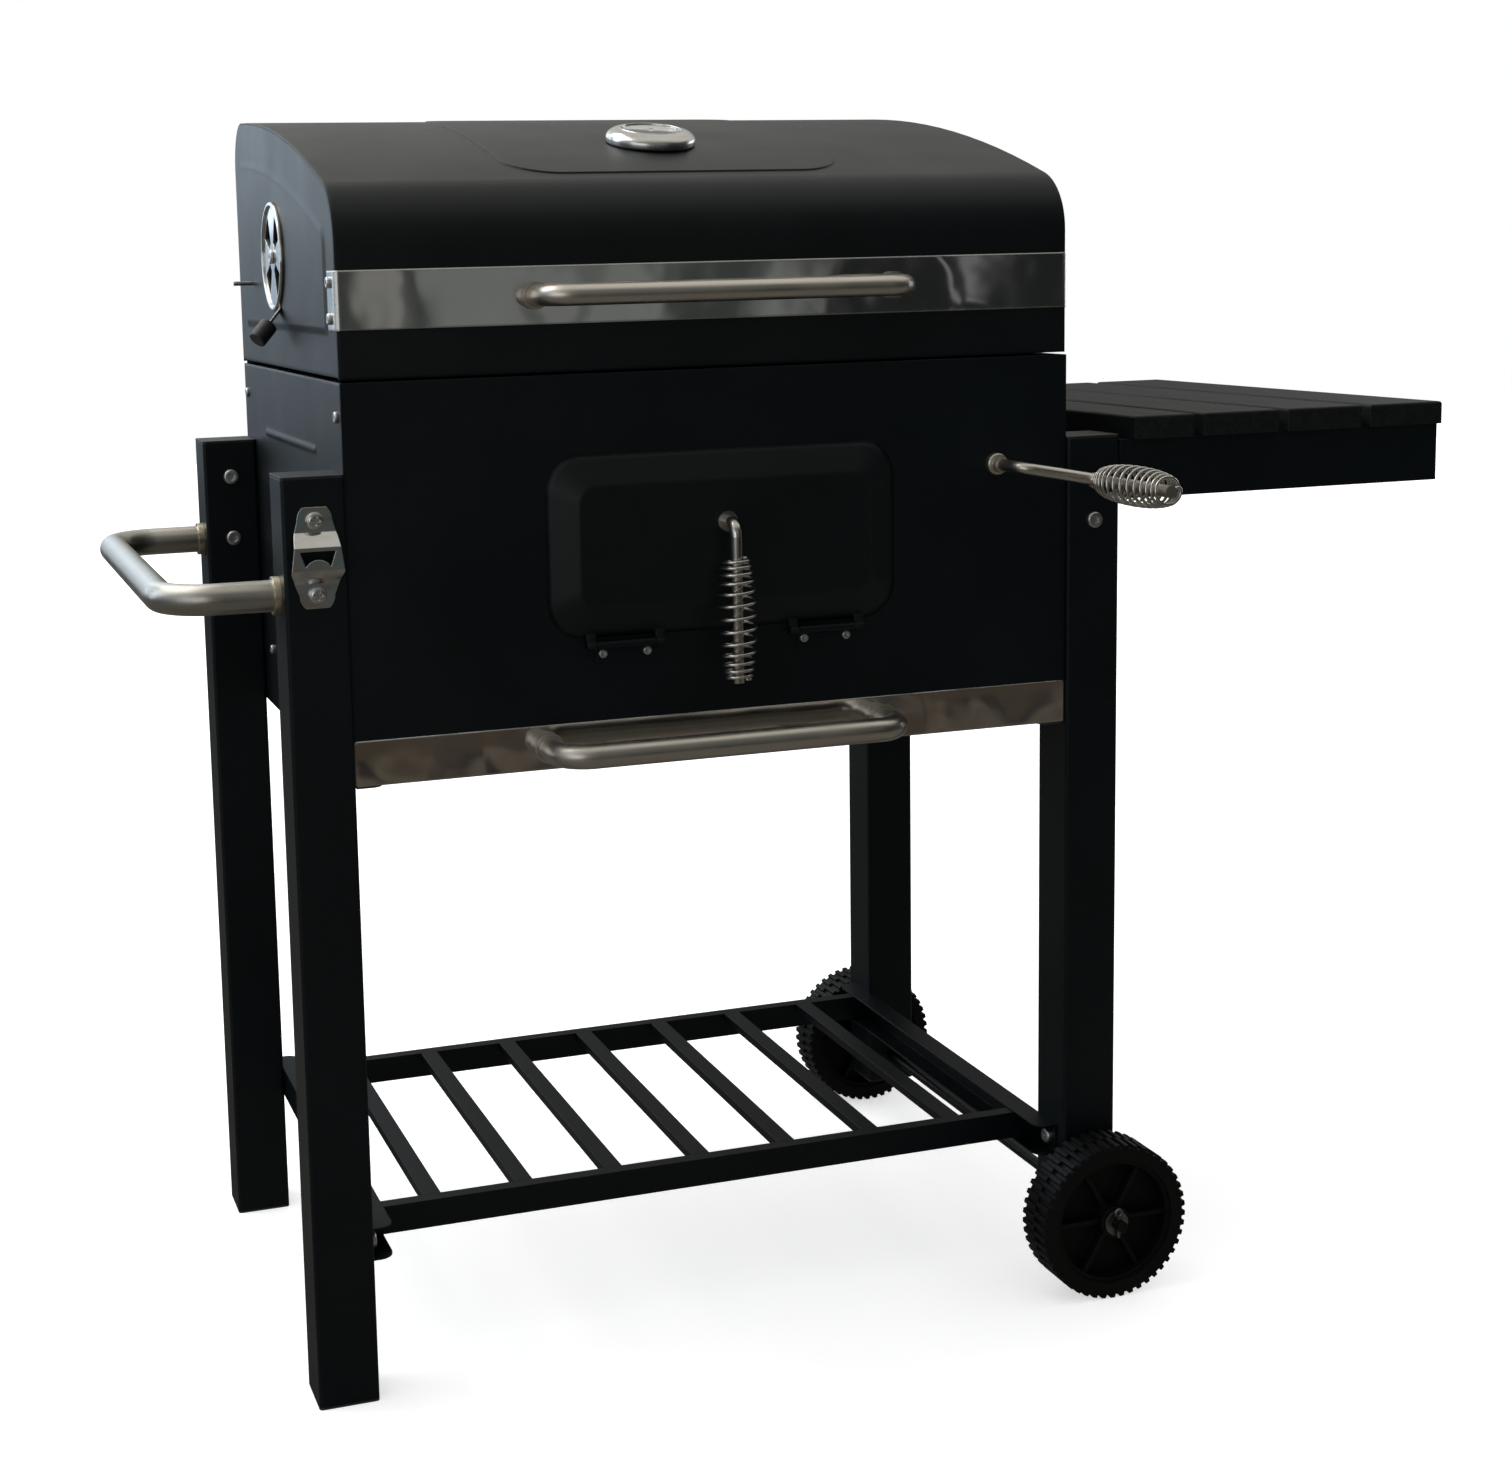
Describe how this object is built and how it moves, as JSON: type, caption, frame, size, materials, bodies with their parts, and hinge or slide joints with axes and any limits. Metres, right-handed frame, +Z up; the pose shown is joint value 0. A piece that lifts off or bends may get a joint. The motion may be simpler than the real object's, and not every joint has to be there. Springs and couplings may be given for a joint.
{
  "type": "charcoal trolley grill",
  "caption": "Charcoal trolley grill with a domed hinged lid, crank-raised charcoal pan, tilting stoking door, ash drawer, slatted side table and shelf, and wheels under one end.",
  "frame": {"origin": "on the ground, below the middle of the whole grill's box", "axes": "+X to the side table, +Y to the back, +Z up; the front with the door faces -Y"},
  "size_m": [1.154, 0.676, 1.0529],
  "materials": {
    "black_paint": "satin",
    "enamel": "gloss enamel",
    "polished_steel": "polished",
    "satin_steel": "brushed",
    "zinc": "zinc plated",
    "wire": "plated wire",
    "black_plastic": "matt",
    "plank": "black stained",
    "dial": "printed sheet, left plain",
    "pointer": "painted",
    "glass": "clear"
  },
  "bodies": {
    "cart": {"legs_left": "black_paint", "legs_right": "black_paint", "leg_caps": "black_plastic", "front_panel": "black_paint", "back_panel": "black_paint", "side_panels": "black_paint", "small_screws": "zinc", "frame_bolts": "zinc", "cross_bolts": "zinc", "bottle_opener": "satin_steel", "cart_handle": "satin_steel", "cart_ferrules": "satin_steel", "table_planks": "plank", "table_apron": "black_paint", "shelf_channels": "black_paint", "shelf_rails": "black_paint", "shelf_slats": "black_paint", "axle": "zinc", "axle_fittings": "zinc", "drawer_runners": "black_paint", "door_straps": "black_paint", "crank_bushes": "satin_steel", "rack_guides": "black_paint", "grate_ledges": "black_paint", "cooking_grates": "wire", "hinge_leaves_fixed": "black_paint"},
    "lid": {"lid_shell": "black_paint", "lid_ends": "black_paint", "lid_strip": "polished_steel", "lid_handle": "satin_steel", "lid_ferrules": "polished_steel", "lid_screws": "zinc", "gauge_bezel": "polished_steel", "gauge_dial": "dial", "gauge_glass": "glass", "gauge_stem": "zinc", "hinge_leaves_lid": "black_paint"},
    "gauge_pointer": {"gauge_needle": "pointer"},
    "vent_left": {"vent_disc_left": "polished_steel", "vent_knob_left": "black_plastic"},
    "vent_right": {"vent_disc_right": "polished_steel", "vent_knob_right": "black_plastic"},
    "rack": {"warming_rack": "wire"},
    "door": {"charcoal_door": "black_paint", "door_pull": "satin_steel", "door_spring": "satin_steel", "pull_rosette": "satin_steel"},
    "crank": {"crank_rod": "satin_steel", "crank_spring": "satin_steel", "pinions": "satin_steel"},
    "lift": {"lift_frame": "black_paint", "charcoal_pan": "enamel"},
    "drawer": {"ash_tray": "black_paint", "drawer_strip": "polished_steel", "drawer_handle": "satin_steel", "drawer_ferrules": "polished_steel"},
    "front_wheel": {"wheel_front": "black_plastic"},
    "rear_wheel": {"wheel_rear": "black_plastic"}
  },
  "joints": [
    {"name": "lid_hinge", "type": "hinge", "parent": "cart", "child": "lid", "pos_m": [-0.112, 0.2855, 0.831], "axis": [-1, 0, 0], "range_deg": [0, 95]},
    {"name": "gauge_turn", "type": "hinge", "parent": "lid", "child": "gauge_pointer", "pos_m": [-0.1165, -0.026, 1.0163], "axis": [0, 0.234, -0.9722], "range_deg": [0, 270]},
    {"name": "vent_left_turn", "type": "hinge", "parent": "lid", "child": "vent_left", "pos_m": [-0.4278, 0.08, 0.929], "axis": [1, 0, 0], "range_deg": [0, 45]},
    {"name": "vent_right_turn", "type": "hinge", "parent": "lid", "child": "vent_right", "pos_m": [0.2038, 0.08, 0.929], "axis": [1, 0, 0], "range_deg": [0, 45]},
    {"name": "rack_swing", "type": "hinge", "parent": "lid", "child": "rack", "pos_m": [-0.112, 0.199, 0.906], "axis": [-1, 0, 0], "range_deg": [-95, 0]},
    {"name": "door_hinge", "type": "hinge", "parent": "cart", "child": "door", "pos_m": [-0.112, -0.181, 0.6115], "axis": [1, 0, 0], "range_deg": [0, 32]},
    {"name": "crank_turn", "type": "hinge", "parent": "cart", "child": "crank", "pos_m": [0.135, -0.176, 0.74], "axis": [0, -1, 0], "range_deg": [0, 159.2]},
    {"name": "pan_lift", "type": "slide", "parent": "cart", "child": "lift", "axis": [0, 0, 1], "range_m": [0, 0.05]},
    {"name": "drawer_slide", "type": "slide", "parent": "cart", "child": "drawer", "axis": [0, -1, 0], "range_m": [0, 0.33]},
    {"name": "front_wheel_spin", "type": "hinge", "parent": "cart", "child": "front_wheel", "pos_m": [0.227, -0.206, 0.07], "axis": [0, 1, 0], "continuous": true},
    {"name": "rear_wheel_spin", "type": "hinge", "parent": "cart", "child": "rear_wheel", "pos_m": [0.227, 0.306, 0.07], "axis": [0, 1, 0], "continuous": true}
  ],
  "couplings": [
    {"joint": "crank_turn", "follows": "pan_lift", "rad_per_m": 55.556},
    {"joint": "rack_swing", "follows": "lid_hinge", "ratio": -1}
  ]
}
